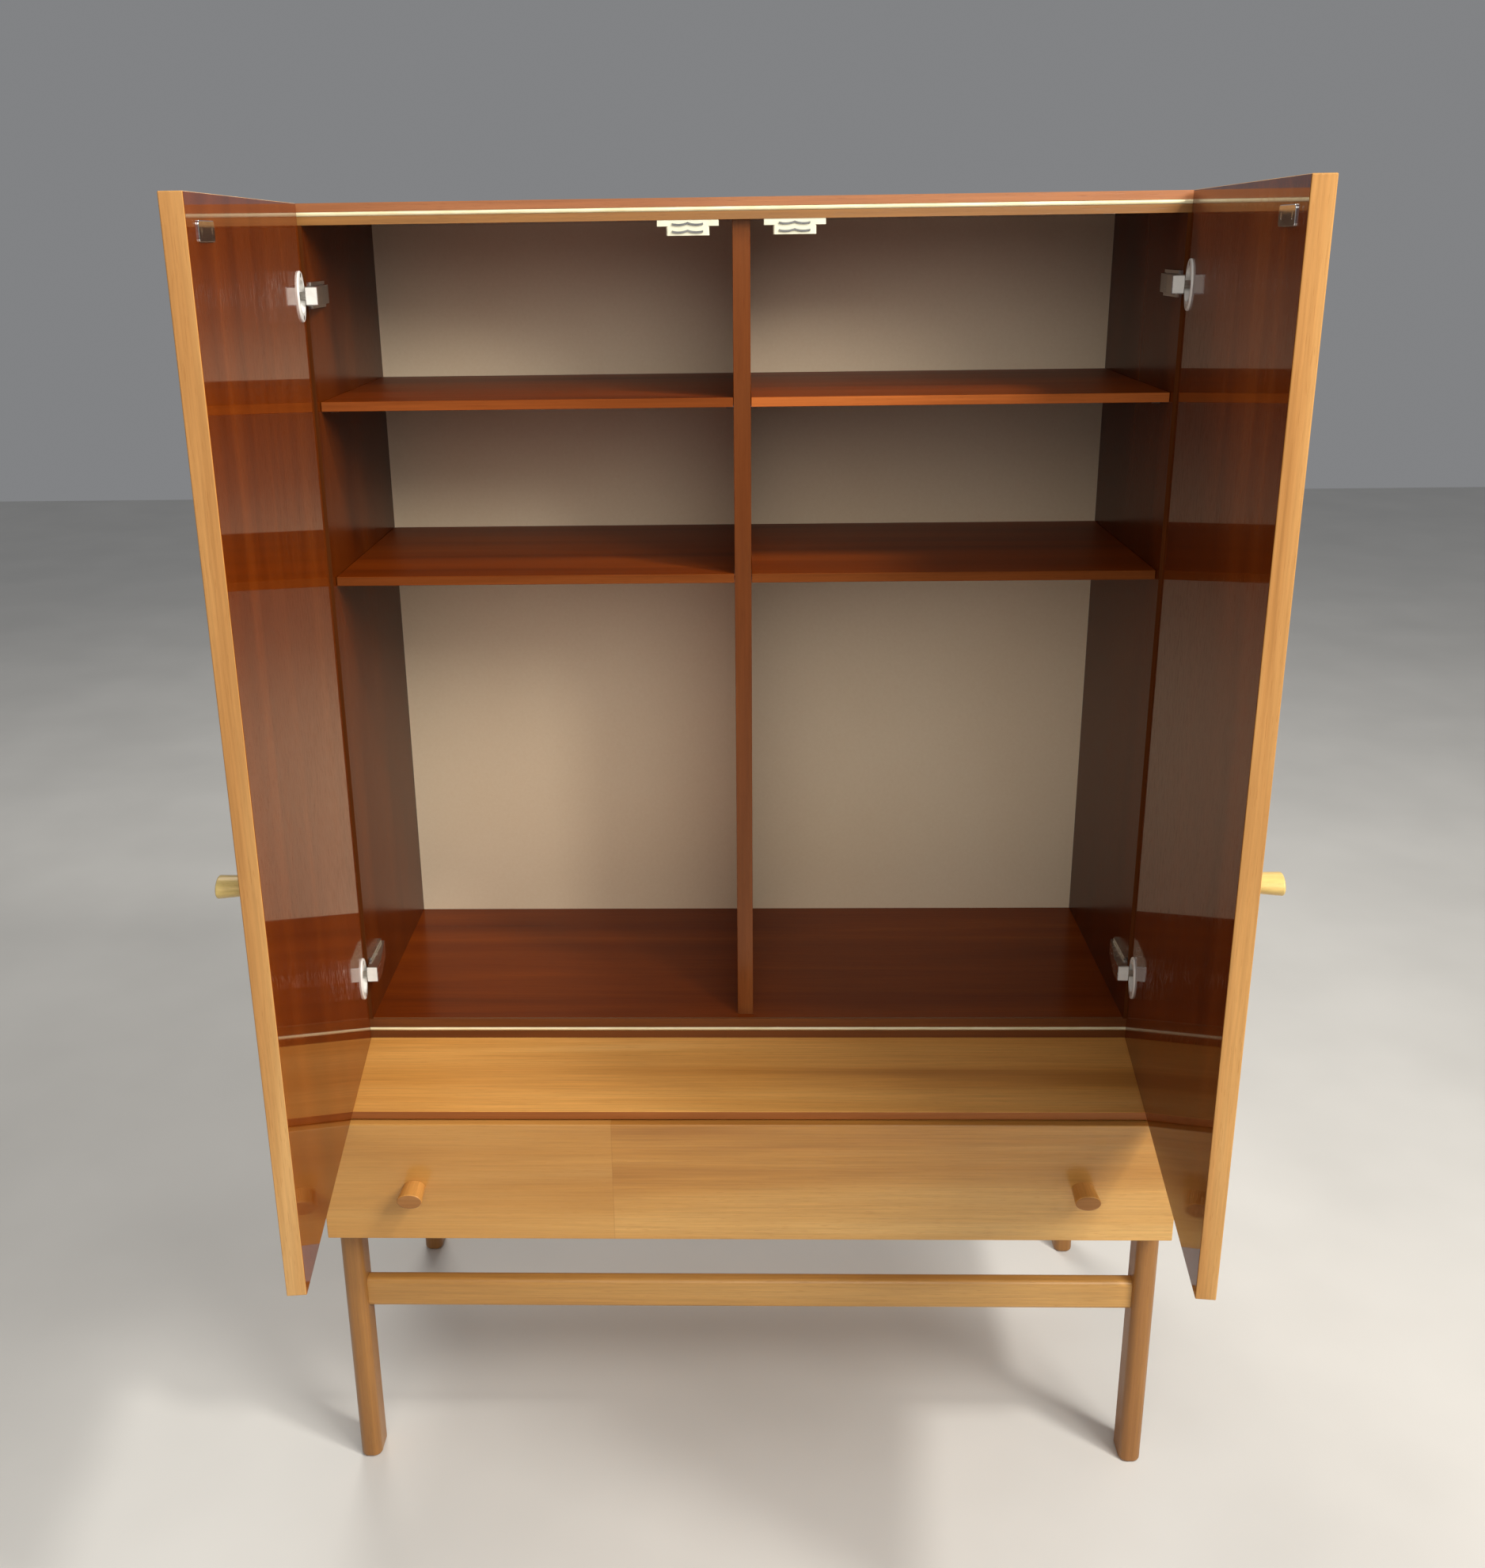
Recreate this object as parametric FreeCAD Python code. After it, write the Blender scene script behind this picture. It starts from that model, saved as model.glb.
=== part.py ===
import FreeCAD, Part
import math
import os

# Two-door linen wardrobe: an upper case with shelves, standing on a deeper
# base chest with one drawer, carried by a leg frame.  Millimetres, +Z up,
# +Y towards the wall, +X to the right as seen from the front.
# Everything is drawn with y = 0 at the front of the upper case, and is moved
# at the end so that the origin is the floor centre of the whole outline.

V = FreeCAD.Vector
UP = V(0, 0, 1)
FORWARD = V(0, -1, 0)

# --- driving dimensions: upper case ---
CASE_W = 920.0
CASE_D = 312.0
CASE_TOP = 1440.0
SIDE_T = 18.0
TOP_T = 21.0
BOTTOM_T = 25.0
LIP_T = 4.0                # thickness of the front lippings
BEAD_H = 4.5               # height of the pale bead in each lipped edge
BEAD_PROUD = 0.8
TOP_INNER_LIP_H = 8.0
BOTTOM_OUTER_LIP_H = 9.5
BACK_T = 4.0
REBATE_DEPTH = 6.0         # from the rear edges to the back panel's front face
REBATE_W = 8.0
DIVIDER_T = 18.0
BOARD_EDGE_R = 0.5         # softened edges of shelves and divider
INNER_SETBACK = 12.0       # shelves and divider behind the front plane

# --- shelves ---
SHELF_T = 10.0
SHELF_TOPS = {"lower": 1056.0, "upper": 1243.0}
SHELF_SIDE_GAP = 0.5
PIN_R = 2.5
PIN_LEN = 16.0
PIN_INSET = 8.0            # length of each pin that sits in the wood
PIN_SETS_Y = (50.0, 260.0)

# --- base chest ---
BASE_W = 938.0
BASE_TOP = 499.0
BASE_TOP_T = 9.5
BASE_TOP_FRONT = -159.0
BASE_FLOOR = 341.0
BASE_SIDE_T = 16.0
BASE_BOARD_T = 12.0
BASE_CASE_FRONT = -147.0
STRETCHER_D = 56.0
STRETCHER_T = 18.0

# --- drawer ---
DRAWER_FACE = -166.0
DRAWER_FRONT_T = 18.0
DRAWER_FRONT_BOTTOM = 340.5
DRAWER_FRONT_TOP = 487.0
DRAWER_OUTER_W = 900.0
DRAWER_BACK_Y = 285.0
DRAWER_WALL_T = 12.0
DRAWER_WALL_BOTTOM = 359.4
DRAWER_WALL_TOP = 465.0
DRAWER_FLOOR_Z = 366.0
DRAWER_FLOOR_T = 4.0
DRAWER_GROOVE = 5.0
RUNNER_W = 14.0
RUNNER_H = 6.0
RUNNER_FRONT = -140.0
RUNNER_BACK = 296.0

# --- leg frame ---
LEG_W = 25.0
LEG_D = 40.0
LEG_CORNER_R = 10.0
FOOT_R = 4.0
FRONT_LEG_Y = -110.0
BACK_LEG_Y = 282.0
RAIL_T = 18.0
RAIL_BOTTOM = 210.5
RAIL_H = 37.5
RAIL_EDGE_R = 6.0
TENON_T = 8.0
TENON_H = 22.0
TENON_L = 16.0
APRON_H = 36.0
FRAME_SCREW_R = 2.5
FRAME_SCREW_LEN = 52.0
FRAME_SCREW_HEAD_R = 5.0
FRAME_SCREW_HEAD_H = 3.0
FRAME_SCREW_YS = (0.0, 175.0)

# --- doors and hinges ---
DOOR_T = 18.0
DOOR_GAP = 3.0             # between a closed door and the case
DOOR_BOTTOM = 501.5
DOOR_MEETING_GAP = 2.5
DOOR_EDGE_R = 1.0
REST_ANGLE = 84.0
PIVOT_IN = 6.5             # hinge pin inboard of the case's outer side plane
PIVOT_DEPTH = 10.0         # hinge pin behind the door's inner face
HINGE_ZS = (590.0, 1351.0)
CUP_IN = 19.8              # cup centre inboard of the outer side plane
CUP_R = 17.5
CUP_POCKET_R = 16.3
CUP_DEPTH = 13.5
POCKET_DEPTH = 12.5
FLANGE_W = 36.0
FLANGE_H = 50.0
FLANGE_T = 2.0
FLANGE_EDGE_R = 1.2
PIVOT_R = 1.0
PIVOT_HALF = 9.0
EYE_R = 2.0
EYE_HALF = 4.0
RUNNING_CLEARANCE = 0.05
CUP_SCREW_Z = 20.6
CUP_SCREW_R = 1.5
CUP_SCREW_HEAD_R = 2.6
CUP_SCREW_HEAD_H = 1.0
CUP_SCREW_LEN = 12.0

# --- hinge arm: a channel that narrows towards its rear end ---
ARM_IN = 20.3              # edge that faces the case side
ARM_OUT = 32.4             # web at the front
ARM_REAR_OUT = 25.0
ARM_FRONT = -14.0
ARM_KNEE = 4.0
ARM_REAR = 56.0
ARM_HALF = 9.3
ARM_WALL = 1.0
LINK_T = 1.5
BLOCK_FRONT = -15.1
BLOCK_BACK = -0.5
PLATE_T = ARM_IN - SIDE_T
PLATE_FRONT = 2.0
PLATE_REAR = 54.0
PLATE_HALF = 13.0
PLATE_RIM_T = 4.0
PLATE_RIM_W = 3.2
PLATE_SCREW_YS = (18.0, 44.0)
SMALL_SCREW_R = 1.6
SMALL_SCREW_HEAD_R = 3.0
SMALL_SCREW_HEAD_H = 1.6
SMALL_SCREW_LEN = 13.0

# --- magnetic catches and their strikes ---
CATCH_X = 53.5
CATCH_BODY_W = 43.0
CATCH_H = 15.0
CATCH_EAR_SPAN = 62.0
CATCH_EAR_T = 6.0
CATCH_FRONT = 0.5
CATCH_BACK = 30.0
EAR_CORNER_R = 0.8
EAR_BACK = 24.0
EAR_SCREW_Y = 13.5
POLE_W = 31.0
POLE_T = 1.8
POLE_FRONT = -0.9
POLE_BACK = 22.0
POLE_DROPS = (3.8, 11.0)   # pole ends below the case's top panel
POLE_SAG = 0.8
POLE_CUSP = 0.8
STRIKE_X = 58.0
STRIKE_W = 51.0
STRIKE_H = 15.6
STRIKE_T = 1.4
STRIKE_CORNER_R = 3.0
STRIKE_RIM_R = 0.6
STRIKE_DROP = 6.5

# --- knobs: oval in section, wider than tall, and narrower at the root ---
KNOB_W = 28.0
KNOB_H = 18.0
KNOB_ROOT = 0.87           # size at the root as a share of the size at the end
DOOR_KNOB_L = 25.0
DRAWER_KNOB_L = 28.0
KNOB_EDGE_R = 1.5
SPIGOT_R = 4.0
SPIGOT_L = 12.0
HOLE_CLEARANCE = 0.05
DOOR_KNOB_Z = 889.0
DOOR_KNOB_FROM_EDGE = 34.0
DRAWER_KNOB_X = 367.0
DRAWER_KNOB_Z = 408.0

# --- values worked out from the dimensions above ---
HALF = CASE_W / 2
INNER = HALF - SIDE_T
CASE_BOTTOM = BASE_TOP
CLEAR_BOTTOM = CASE_BOTTOM + BOTTOM_T
CLEAR_TOP = CASE_TOP - TOP_T
BACK_FRONT = CASE_D - REBATE_DEPTH
BASE_HALF = BASE_W / 2
DOOR_EDGE = HALF - DOOR_MEETING_GAP / 2
PIVOT_X = HALF - PIVOT_IN
PIVOT_Y = -(DOOR_GAP + PIVOT_DEPTH)
LEG_IN = BASE_HALF - LEG_W
LEG_MID = BASE_HALF - LEG_W / 2


def box(x0, x1, y0, y1, z0, z1):
    return Part.makeBox(x1 - x0, y1 - y0, z1 - z0, V(x0, y0, z0))


def soft_box(x0, x1, y0, y1, z0, z1, radius):
    """A box with every edge rounded."""
    block = box(x0, x1, y0, y1, z0, z1)
    return block.makeFillet(radius, block.Edges)


def rod(start, axis, radius, length):
    return Part.makeCylinder(radius, length, start, axis)


def mirrored(shape):
    return shape.mirror(V(0, 0, 0), V(1, 0, 0))


def both_sides(right):
    """Right-hand pieces and their mirror images, as one group."""
    return Part.makeCompound(right + [mirrored(piece) for piece in right])


def upright_edges(shape):
    return [e for e in shape.Edges if abs(e.tangentAt(e.FirstParameter).z) > 0.999]


def screw(head_top, axis, radius, length, head_radius, head_height):
    """A screw whose head starts at head_top and whose point lies along axis."""
    head = Part.makeCone(head_radius, radius, head_height, head_top, axis)
    shank = rod(head_top, axis, radius, length)
    return head.fuse(shank).removeSplitter()


def screw_hole(head_top, axis, radius, length, head_radius, head_height):
    """The space that a screw of the same size needs."""
    return screw(head_top, axis, radius + HOLE_CLEARANCE, length + 0.5,
                 head_radius + HOLE_CLEARANCE, head_height)


# ---------------------------------------------------------------- upper case

def lipped_front(z_low, z_high, lower_h):
    """Lower strip, pale bead and upper strip across a panel's front edge."""
    bead_low = z_low + lower_h
    bead_high = bead_low + BEAD_H
    lower = box(-HALF, HALF, 0, LIP_T, z_low, bead_low)
    upper = box(-HALF, HALF, 0, LIP_T, bead_high, z_high)
    nose_r = BEAD_H / 2
    nose_y = nose_r - BEAD_PROUD
    bead = box(-HALF, HALF, nose_y, LIP_T, bead_low, bead_high)
    bead = bead.fuse(rod(V(-HALF, nose_y, bead_low + nose_r), V(1, 0, 0), nose_r, CASE_W))
    return lower, bead.removeSplitter(), upper


def back_rebate():
    return box(-INNER - REBATE_W, INNER + REBATE_W, BACK_FRONT, CASE_D + 1,
               CLEAR_BOTTOM - REBATE_W, CLEAR_TOP + REBATE_W)


def ear_screw_spots():
    offset = (CATCH_EAR_SPAN + CATCH_BODY_W) / 4
    return [s * CATCH_X + e * offset for s in (-1, 1) for e in (-1, 1)]


def catch_screws(maker):
    z = CLEAR_TOP - CATCH_EAR_T
    return [maker(V(x, EAR_SCREW_Y, z), UP, SMALL_SCREW_R, SMALL_SCREW_LEN,
                  SMALL_SCREW_HEAD_R, SMALL_SCREW_HEAD_H) for x in ear_screw_spots()]


def case_top():
    panel = box(-HALF, HALF, LIP_T, CASE_D, CLEAR_TOP, CASE_TOP)
    return panel.cut([back_rebate()] + catch_screws(screw_hole))


def case_bottom():
    panel = box(-HALF, HALF, LIP_T, CASE_D, CASE_BOTTOM, CLEAR_BOTTOM)
    return panel.cut(back_rebate())


def plate_screws(maker):
    """Right-hand plate screws: their heads lie flush in the plates."""
    x = INNER - PLATE_T
    return [maker(V(x, y, z), V(1, 0, 0), SMALL_SCREW_R, SMALL_SCREW_LEN,
                  SMALL_SCREW_HEAD_R, SMALL_SCREW_HEAD_H)
            for y in PLATE_SCREW_YS for z in HINGE_ZS]


def shelf_pins(inner_x, outwards, radius, length):
    """Pins that start in the wood at inner_x and point into a compartment."""
    start = inner_x - outwards * PIN_INSET
    pins = []
    for top in SHELF_TOPS.values():
        z = top - SHELF_T - PIN_R
        for y in PIN_SETS_Y:
            pins.append(rod(V(start, y, z), V(outwards, 0, 0), radius, length))
    return pins


def case_side():
    """The right-hand side."""
    panel = box(INNER, HALF, 0, CASE_D, CLEAR_BOTTOM, CLEAR_TOP)
    holes = shelf_pins(INNER, -1, PIN_R + HOLE_CLEARANCE, PIN_LEN)
    return panel.cut([back_rebate()] + holes + plate_screws(screw_hole))


def divider():
    half = DIVIDER_T / 2
    board = box(-half, half, INNER_SETBACK, BACK_FRONT, CLEAR_BOTTOM, CLEAR_TOP)
    front = [e for e in upright_edges(board) if e.BoundBox.YMax < INNER_SETBACK + 1]
    board = board.makeFillet(BOARD_EDGE_R, front)
    holes = shelf_pins(half, 1, PIN_R + HOLE_CLEARANCE, PIN_LEN)
    return board.cut(holes + [mirrored(h) for h in holes])


def back_panel():
    reach = INNER + REBATE_W
    return box(-reach, reach, BACK_FRONT, BACK_FRONT + BACK_T,
               CLEAR_BOTTOM - REBATE_W, CLEAR_TOP + REBATE_W)


def shelf(top):
    """A right-hand shelf."""
    return soft_box(DIVIDER_T / 2 + SHELF_SIDE_GAP, INNER - SHELF_SIDE_GAP,
                    INNER_SETBACK, BACK_FRONT - 2, top - SHELF_T, top, BOARD_EDGE_R)


# ---------------------------------------------------------------- catches

def wave(z, reach):
    """Two shallow sags side by side, which meet in a raised cusp."""
    knots = [(-reach, 0), (0, POLE_CUSP), (reach, 0)]
    ends = [V(CATCH_X + x, POLE_FRONT, z + rise) for x, rise in knots]
    sags = [V(CATCH_X + x, POLE_FRONT, z - POLE_SAG) for x in (-reach / 2, reach / 2)]
    return [Part.Arc(ends[i], sags[i], ends[i + 1]).toShape() for i in (0, 1)]


def poles(grow=0.0):
    """The two steel pole plates of the right-hand catch."""
    reach = POLE_W / 2 + grow
    half = POLE_T / 2 + grow
    plates = []
    for drop in POLE_DROPS:
        z = CLEAR_TOP - drop
        ends = [Part.makeLine(V(x, POLE_FRONT, z - half), V(x, POLE_FRONT, z + half))
                for x in (CATCH_X - reach, CATCH_X + reach)]
        outline = Part.__sortEdges__(wave(z - half, reach) + wave(z + half, reach) + ends)
        face = Part.Face(Part.Wire(outline))
        plates.append(face.extrude(V(0, POLE_BACK + grow - POLE_FRONT, 0)))
    return plates


def catch():
    """The right-hand catch housing."""
    body = box(CATCH_X - CATCH_BODY_W / 2, CATCH_X + CATCH_BODY_W / 2,
               CATCH_FRONT, CATCH_BACK, CLEAR_TOP - CATCH_H, CLEAR_TOP)
    body = body.makeFillet(2.0, upright_edges(body))
    ears = box(CATCH_X - CATCH_EAR_SPAN / 2, CATCH_X + CATCH_EAR_SPAN / 2,
               CATCH_FRONT, EAR_BACK, CLEAR_TOP - CATCH_EAR_T, CLEAR_TOP)
    ears = ears.makeFillet(EAR_CORNER_R, upright_edges(ears))
    housing = body.fuse(ears).removeSplitter()
    return housing.cut(poles(0.05) + catch_screws(screw_hole))


# ---------------------------------------------------------------- hinges

def hinge_x(inboard):
    return HALF - inboard


def oval(center, width, height):
    """An oval outline across y, wide in x and tall in z."""
    if width > height:
        curve = Part.Ellipse(center + V(width / 2, 0, 0), center + V(0, 0, height / 2), center)
    else:
        curve = Part.Ellipse(center + V(0, 0, height / 2), center + V(width / 2, 0, 0), center)
    return Part.Wire([curve.toShape()])


def rim(shape, y):
    """The edges that lie in the plane across y."""
    return [e for e in shape.Edges if abs(e.BoundBox.YMin - y) + abs(e.BoundBox.YMax - y) < 0.1]


def hinge_cup(z):
    """A right-hand cup with its flange, on the closed door."""
    face_y = -DOOR_GAP
    center = V(hinge_x(CUP_IN), face_y, z)
    flange = Part.Face(oval(center, FLANGE_W, FLANGE_H)).extrude(V(0, FLANGE_T, 0))
    flange = flange.makeFillet(FLANGE_EDGE_R, rim(flange, face_y + FLANGE_T))
    cup = rod(center, FORWARD, CUP_R, CUP_DEPTH).fuse(flange)
    mouth = center + V(0, FLANGE_T, 0)
    pocket = rod(mouth, FORWARD, CUP_POCKET_R, POCKET_DEPTH + FLANGE_T)
    pin = rod(V(PIVOT_X, PIVOT_Y, z - PIVOT_HALF), UP, PIVOT_R + 0.02, 2 * PIVOT_HALF)
    return cup.removeSplitter().cut([pocket, pin] + cup_screws(z, screw_hole))


def cup_screws(z, maker):
    top = -DOOR_GAP + FLANGE_T
    return [maker(V(hinge_x(CUP_IN), top, z + s * CUP_SCREW_Z), FORWARD, CUP_SCREW_R,
                  CUP_SCREW_LEN, CUP_SCREW_HEAD_R, CUP_SCREW_HEAD_H) for s in (-1, 1)]


def hinge_pin(z):
    return rod(V(PIVOT_X, PIVOT_Y, z - PIVOT_HALF), UP, PIVOT_R, 2 * PIVOT_HALF)


def arm_outline(wall):
    """The channel's plan, drawn in from its web and nose by wall."""
    points = [(ARM_IN, ARM_FRONT), (ARM_OUT - wall, ARM_FRONT), (ARM_OUT - wall, ARM_KNEE),
              (ARM_REAR_OUT - wall, ARM_REAR), (ARM_IN, ARM_REAR)]
    return [(hinge_x(i), y) for i, y in points]


def prism(points, z0, z1):
    corners = [V(x, y, z0) for x, y in points]
    face = Part.Face(Part.makePolygon(corners + corners[:1]))
    return face.extrude(V(0, 0, z1 - z0))


def hinge_link(z, grow=0.0):
    """The flat link from the arm's web to the hinge pin."""
    half_t = LINK_T / 2 + grow
    half_h = EYE_HALF + grow
    return box(hinge_x(ARM_OUT), PIVOT_X, PIVOT_Y - half_t, PIVOT_Y + half_t,
               z - half_h, z + half_h)


def hinge_arm(z):
    """Channel, link and eye in one piece; the eye turns on the hinge pin."""
    channel = prism(arm_outline(0), z - ARM_HALF, z + ARM_HALF)
    hollow = prism(arm_outline(ARM_WALL), z - ARM_HALF + ARM_WALL, z + ARM_HALF - ARM_WALL)
    eye = rod(V(PIVOT_X, PIVOT_Y, z - EYE_HALF), UP, EYE_R, 2 * EYE_HALF)
    bore = rod(V(PIVOT_X, PIVOT_Y, z - EYE_HALF - 1), UP,
               PIVOT_R + RUNNING_CLEARANCE, 2 * EYE_HALF + 2)
    return channel.cut(hollow).fuse([hinge_link(z), eye]).removeSplitter().cut(bore)


def hinge_block(z):
    """The plastic block that fills the arm's nose; the link runs through it."""
    half = ARM_HALF - ARM_WALL
    block = box(hinge_x(ARM_OUT - ARM_WALL), hinge_x(ARM_IN), BLOCK_FRONT, BLOCK_BACK,
                z - half, z + half)
    return block.cut(hinge_link(z, HOLE_CLEARANCE))


def hinge_plate(z):
    """A right-hand mounting plate with a raised rim above and below the arm."""
    plate = box(INNER - PLATE_T, INNER, PLATE_FRONT, PLATE_REAR, z - PLATE_HALF, z + PLATE_HALF)
    rims = [box(INNER - PLATE_RIM_T, INNER, PLATE_FRONT, PLATE_REAR, low, low + PLATE_RIM_W)
            for low in (z - PLATE_HALF, z + PLATE_HALF - PLATE_RIM_W)]
    return plate.fuse(rims).removeSplitter().cut(plate_screws(screw_hole))


# ---------------------------------------------------------------- doors

def knob(center, length):
    """An oval knob that stands forwards from center, with its spigot behind."""
    root = oval(center, KNOB_W * KNOB_ROOT, KNOB_H * KNOB_ROOT)
    end = oval(center + V(0, -length, 0), KNOB_W, KNOB_H)
    body = Part.makeLoft([root, end], True, True)
    body = body.makeFillet(KNOB_EDGE_R, rim(body, center.y - length))
    return body.fuse(rod(center, V(0, 1, 0), SPIGOT_R, SPIGOT_L)).removeSplitter()


def spigot_hole(center):
    return rod(center, V(0, 1, 0), SPIGOT_R + HOLE_CLEARANCE, SPIGOT_L)


def door_knob_center():
    return V(HALF - DOOR_EDGE + DOOR_KNOB_FROM_EDGE, -DOOR_GAP - DOOR_T, DOOR_KNOB_Z)


def strike_center():
    return V(STRIKE_X, -DOOR_GAP, CLEAR_TOP - STRIKE_DROP)


def strike_screws(maker):
    c = strike_center() + V(0, STRIKE_T, 0)
    return [maker(c + V(s * STRIKE_W / 3, 0, 0), FORWARD, CUP_SCREW_R, CUP_SCREW_LEN,
                  CUP_SCREW_HEAD_R, CUP_SCREW_HEAD_H) for s in (-1, 1)]


def strike():
    c = strike_center()
    plate = box(c.x - STRIKE_W / 2, c.x + STRIKE_W / 2, c.y, c.y + STRIKE_T,
                c.z - STRIKE_H / 2, c.z + STRIKE_H / 2)
    corners = [e for e in plate.Edges if e.Length < STRIKE_T + 0.1]
    plate = plate.makeFillet(STRIKE_CORNER_R, corners)
    plate = plate.makeFillet(STRIKE_RIM_R, rim(plate, c.y + STRIKE_T))
    return plate.cut(strike_screws(screw_hole))


def door_screws(maker):
    return [s for z in HINGE_ZS for s in cup_screws(z, maker)] + strike_screws(maker)


def door():
    """The right-hand door, closed."""
    panel = soft_box(HALF - DOOR_EDGE, HALF, -DOOR_GAP - DOOR_T, -DOOR_GAP,
                     DOOR_BOTTOM, CASE_TOP, DOOR_EDGE_R)
    cups = [rod(V(hinge_x(CUP_IN), -DOOR_GAP, z), FORWARD, CUP_R + 0.02, CUP_DEPTH)
            for z in HINGE_ZS]
    return panel.cut(cups + [spigot_hole(door_knob_center())] + door_screws(screw_hole))


def opened(shape):
    """Turns a closed right-hand door piece to the resting open angle."""
    turned = shape.copy()
    turned.rotate(V(PIVOT_X, PIVOT_Y, 0), UP, REST_ANGLE)
    return turned


# ---------------------------------------------------------------- base chest

def frame_screws(maker):
    """Right-hand screws up through the side rail into the chest's side."""
    z = BASE_FLOOR - APRON_H
    return [maker(V(LEG_MID, y, z), UP, FRAME_SCREW_R, FRAME_SCREW_LEN,
                  FRAME_SCREW_HEAD_R, FRAME_SCREW_HEAD_H) for y in FRAME_SCREW_YS]


def base_top():
    return soft_box(-BASE_HALF, BASE_HALF, BASE_TOP_FRONT, CASE_D,
                    BASE_TOP - BASE_TOP_T, BASE_TOP, 0.8)


def base_side():
    return box(BASE_HALF - BASE_SIDE_T, BASE_HALF, BASE_CASE_FRONT, CASE_D,
               BASE_FLOOR, BASE_TOP - BASE_TOP_T).cut(frame_screws(screw_hole))


def base_floor():
    reach = BASE_HALF - BASE_SIDE_T
    return box(-reach, reach, BASE_CASE_FRONT, CASE_D - BASE_BOARD_T,
               BASE_FLOOR, BASE_FLOOR + BASE_BOARD_T)


def base_back():
    reach = BASE_HALF - BASE_SIDE_T
    return box(-reach, reach, CASE_D - BASE_BOARD_T, CASE_D, BASE_FLOOR, BASE_TOP - BASE_TOP_T)


def base_stretcher():
    reach = BASE_HALF - BASE_SIDE_T
    top = BASE_TOP - BASE_TOP_T
    return box(-reach, reach, BASE_CASE_FRONT, BASE_CASE_FRONT + STRETCHER_D,
               top - STRETCHER_T, top)


def runner():
    outer = BASE_HALF - BASE_SIDE_T
    floor = BASE_FLOOR + BASE_BOARD_T
    return box(outer - RUNNER_W, outer, RUNNER_FRONT, RUNNER_BACK, floor, floor + RUNNER_H)


# ---------------------------------------------------------------- drawer

def drawer_knob_center(side):
    return V(side * DRAWER_KNOB_X, DRAWER_FACE, DRAWER_KNOB_Z)


def drawer_floor():
    reach = DRAWER_OUTER_W / 2 - DRAWER_WALL_T + DRAWER_GROOVE
    inner_face = DRAWER_FACE + DRAWER_FRONT_T
    return box(-reach, reach, inner_face - DRAWER_GROOVE, DRAWER_BACK_Y,
               DRAWER_FLOOR_Z, DRAWER_FLOOR_Z + DRAWER_FLOOR_T)


def drawer_front():
    board = soft_box(-BASE_HALF, BASE_HALF, DRAWER_FACE, DRAWER_FACE + DRAWER_FRONT_T,
                     DRAWER_FRONT_BOTTOM, DRAWER_FRONT_TOP, 1.2)
    holes = [spigot_hole(drawer_knob_center(s)) for s in (-1, 1)]
    return board.cut(holes + [drawer_floor()])


def drawer_side():
    outer = DRAWER_OUTER_W / 2
    board = box(outer - DRAWER_WALL_T, outer, DRAWER_FACE + DRAWER_FRONT_T, DRAWER_BACK_Y,
                DRAWER_WALL_BOTTOM, DRAWER_WALL_TOP)
    return board.cut(drawer_floor())


def drawer_back():
    reach = DRAWER_OUTER_W / 2 - DRAWER_WALL_T
    return box(-reach, reach, DRAWER_BACK_Y - DRAWER_WALL_T, DRAWER_BACK_Y,
               DRAWER_FLOOR_Z + DRAWER_FLOOR_T, DRAWER_WALL_TOP)


# ---------------------------------------------------------------- leg frame

def cross_rail(y):
    """A rail across the frame, between two legs, with a tenon at each end."""
    z_mid = RAIL_BOTTOM + RAIL_H / 2
    bar = box(-LEG_IN, LEG_IN, y - RAIL_T / 2, y + RAIL_T / 2, RAIL_BOTTOM, RAIL_BOTTOM + RAIL_H)
    long_edges = [e for e in bar.Edges if e.Length > LEG_IN]
    bar = bar.makeFillet(RAIL_EDGE_R, long_edges)
    reach = LEG_IN + TENON_L
    tenons = box(-reach, reach, y - TENON_T / 2, y + TENON_T / 2,
                 z_mid - TENON_H / 2, z_mid + TENON_H / 2)
    return bar.fuse(tenons).removeSplitter()


def side_rail():
    """The right-hand rail under the chest, tenoned into both legs."""
    bar = box(LEG_MID - RAIL_T / 2, LEG_MID + RAIL_T / 2,
              FRONT_LEG_Y + LEG_D / 2, BACK_LEG_Y - LEG_D / 2, BASE_FLOOR - APRON_H, BASE_FLOOR)
    z_mid = BASE_FLOOR - APRON_H / 2
    tenons = box(LEG_MID - TENON_T / 2, LEG_MID + TENON_T / 2,
                 FRONT_LEG_Y + LEG_D / 2 - TENON_L, BACK_LEG_Y - LEG_D / 2 + TENON_L,
                 z_mid - TENON_L / 2, z_mid + TENON_L / 2)
    return bar.fuse(tenons).removeSplitter().cut(frame_screws(screw_hole))


def leg(y):
    """A right-hand leg: rounded in plan, with a softened foot."""
    post = box(LEG_IN, BASE_HALF, y - LEG_D / 2, y + LEG_D / 2, 0, BASE_FLOOR)
    post = post.makeFillet(LEG_CORNER_R, upright_edges(post))
    foot = [e for e in post.Edges if e.BoundBox.ZMax < 0.1]
    post = post.makeFillet(FOOT_R, foot)
    return post.cut([cross_rail(y), side_rail()])


# ---------------------------------------------------------------- assembly

def pair(nodes, name, right):
    """Adds a right-hand piece and its mirror image."""
    nodes[name % "right"] = right
    nodes[name % "left"] = mirrored(right)


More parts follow.
